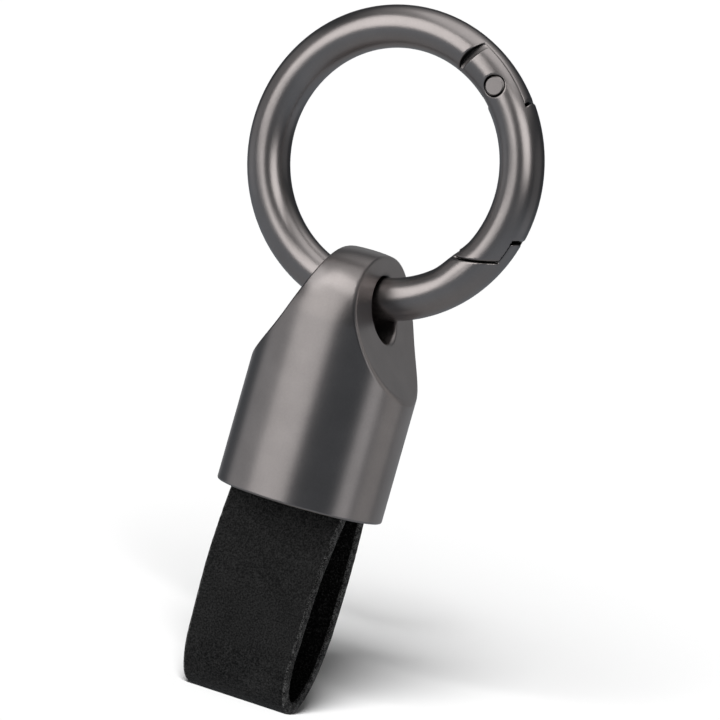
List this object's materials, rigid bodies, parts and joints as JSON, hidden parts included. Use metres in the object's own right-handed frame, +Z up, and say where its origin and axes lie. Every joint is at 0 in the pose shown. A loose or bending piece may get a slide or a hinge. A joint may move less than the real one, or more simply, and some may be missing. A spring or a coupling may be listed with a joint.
{
  "type": "carabiner keyring",
  "caption": "Spring-gate O-ring carabiner carrying a round metal fob barrel with a folded leather strap loop, for keys, belts and bags.",
  "frame": {"origin": "centre of the O-ring, in the middle plane of its wire", "axes": "+Y along the ring's axis, +Z up towards the top of the hanging ring with the fob hanging along -Z, +X towards the gate"},
  "size_m": [0.0365, 0.0198, 0.0826],
  "materials": {
    "gunmetal": "satin black-nickel plate on zinc alloy",
    "spring_steel": "bright drawn steel",
    "leather": "matte fine-grained black leather with raw cut edges",
    "nylon": "matte black nylon"
  },
  "bodies": {
    "ring": {"ring_body": "gunmetal"},
    "gate": {"gate": "gunmetal", "gate_pivot_pin": "gunmetal", "gate_spring": "spring_steel"},
    "plunger": {"gate_plunger": "spring_steel"},
    "fob": {"fob_barrel": "gunmetal", "strap": "leather", "strap_plug": "nylon", "strap_spacer": "nylon", "strap_rivet": "spring_steel"}
  },
  "joints": [
    {"name": "gate_hinge", "type": "hinge", "parent": "ring", "child": "gate", "pos_m": [0.01012, 0, 0.01207], "axis": [0, 1, 0], "range_deg": [0, 25], "stiffness_Nm_per_rad": 0.05, "springref_deg": -34.38},
    {"name": "plunger_slide", "type": "slide", "parent": "gate", "child": "plunger", "axis": [0.766, 0, -0.6428], "range_m": [0, 0.00072], "deforming": ["gate_spring"]},
    {"name": "fob_swing", "type": "hinge", "parent": "ring", "child": "fob", "pos_m": [0, 0, -0.01575], "axis": [1, 0, 0], "range_deg": [-70, 70]}
  ],
  "couplings": [
    {"joint": "plunger_slide", "follows": "gate_hinge", "m_per_rad": 0.00165}
  ]
}
